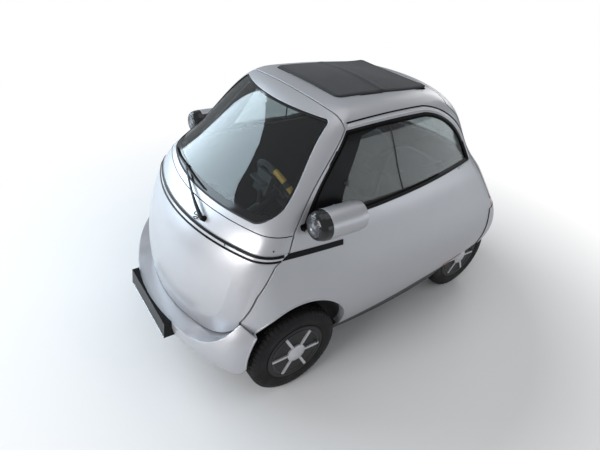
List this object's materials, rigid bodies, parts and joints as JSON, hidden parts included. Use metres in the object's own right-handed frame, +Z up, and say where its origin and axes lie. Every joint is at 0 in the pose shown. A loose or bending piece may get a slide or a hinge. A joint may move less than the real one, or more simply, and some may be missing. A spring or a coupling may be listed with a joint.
{
  "type": "microcar",
  "caption": "Electric bubble microcar with a full-width front door, lamp pods at its sides, a canvas roof, a lifting tail door and steered front wheels.",
  "frame": {"origin": "on the floor, under the middle of the car's overall length and width", "axes": "+Z up, the front of the car looks along -Y and its rear along +Y, and +X is the car's left, the driver's side"},
  "size_m": [1.448, 2.56, 1.5089],
  "materials": {
    "paint_silver": "satin",
    "gloss_black": "gloss",
    "dark_plastic": "matt",
    "clear_glass": "gloss",
    "light_white": "gloss",
    "light_red": "gloss",
    "canvas": "woven",
    "tyre_rubber": "matt",
    "wheel_black": "satin",
    "wheel_silver": "satin",
    "lamp_lens": "gloss",
    "mirror_glass": "gloss",
    "chassis_black": "satin",
    "cast_metal": "cast",
    "battery_case": "satin",
    "floor_coat": "matt",
    "seat_cover": "satin",
    "plate_white": "gloss",
    "bar_steel": "brushed"
  },
  "bodies": {
    "car_body": {"side_strips": "gloss_black", "front_bumper": "paint_silver", "tail_light_bar": "light_red", "body_shell": "paint_silver", "rear_bumper": "paint_silver", "rear_valance": "dark_plastic", "sills": "dark_plastic", "canvas_roof": "canvas", "window_surrounds": "gloss_black", "side_glass": "clear_glass", "arch_liners": "dark_plastic", "floor_pan": "floor_coat", "load_floor": "floor_coat", "battery": "battery_case", "motor": "cast_metal", "cross_beams": "chassis_black", "front_axle": "chassis_black", "rear_axle": "chassis_black", "pod_housings": "paint_silver", "pod_rings": "gloss_black", "pod_lenses": "lamp_lens", "pod_mirrors": "mirror_glass", "rear_number_plate": "plate_white", "plate_holders": "dark_plastic", "side_reflectors": "light_red", "seat_box": "dark_plastic", "seats": "seat_cover", "steering_column": "dark_plastic", "pedals": "chassis_black"},
    "front_door": {"front_door": "paint_silver", "windscreen": "clear_glass", "front_light_bar": "light_white", "door_bar": "bar_steel", "wiper": "dark_plastic"},
    "tail_door": {"tail_door": "paint_silver", "tail_glass": "clear_glass"},
    "knuckle_left": {"knuckle_left": "cast_metal"},
    "knuckle_right": {"knuckle_right": "cast_metal"},
    "steering_wheel": {"steering_wheel": "seat_cover"},
    "wheel_front_left": {"tyre_front_left": "tyre_rubber", "rim_front_left": "wheel_black", "wheel_trim_front_left": "wheel_silver"},
    "wheel_front_right": {"tyre_front_right": "tyre_rubber", "rim_front_right": "wheel_black", "wheel_trim_front_right": "wheel_silver"},
    "wheel_rear_left": {"tyre_rear_left": "tyre_rubber", "rim_rear_left": "wheel_black", "wheel_trim_rear_left": "wheel_silver"},
    "wheel_rear_right": {"tyre_rear_right": "tyre_rubber", "rim_rear_right": "wheel_black", "wheel_trim_rear_right": "wheel_silver"}
  },
  "joints": [
    {"name": "front_door_hinge", "type": "hinge", "parent": "car_body", "child": "front_door", "pos_m": [0.6, -1.016, 0.6], "axis": [0, 0.1392, 0.9903], "range_deg": [0, 80]},
    {"name": "tail_door_hinge", "type": "hinge", "parent": "car_body", "child": "tail_door", "pos_m": [0, 0.3465, 1.48], "axis": [1, 0, 0], "range_deg": [0, 75]},
    {"name": "steer_left", "type": "hinge", "parent": "car_body", "child": "knuckle_left", "pos_m": [0.574, -0.715, 0.266], "axis": [0, 0, 1], "range_deg": [-28, 28]},
    {"name": "steer_right", "type": "hinge", "parent": "car_body", "child": "knuckle_right", "pos_m": [-0.574, -0.715, 0.266], "axis": [0, 0, 1], "range_deg": [-28, 28]},
    {"name": "steering_wheel_turn", "type": "hinge", "parent": "car_body", "child": "steering_wheel", "pos_m": [0.236, -0.616, 1.015], "axis": [0, 0.8829, 0.4695], "range_deg": [-392, 392]},
    {"name": "wheel_front_left_spin", "type": "hinge", "parent": "knuckle_left", "child": "wheel_front_left", "pos_m": [0.595, -0.715, 0.266], "axis": [1, 0, 0], "continuous": true},
    {"name": "wheel_front_right_spin", "type": "hinge", "parent": "knuckle_right", "child": "wheel_front_right", "pos_m": [-0.595, -0.715, 0.266], "axis": [1, 0, 0], "continuous": true},
    {"name": "wheel_rear_left_spin", "type": "hinge", "parent": "car_body", "child": "wheel_rear_left", "pos_m": [0.448, 0.849, 0.266], "axis": [1, 0, 0], "continuous": true},
    {"name": "wheel_rear_right_spin", "type": "hinge", "parent": "car_body", "child": "wheel_rear_right", "pos_m": [-0.448, 0.849, 0.266], "axis": [1, 0, 0], "continuous": true}
  ],
  "couplings": [
    {"joint": "steer_right", "follows": "steer_left", "ratio": 1},
    {"joint": "steering_wheel_turn", "follows": "steer_left", "ratio": 14}
  ]
}
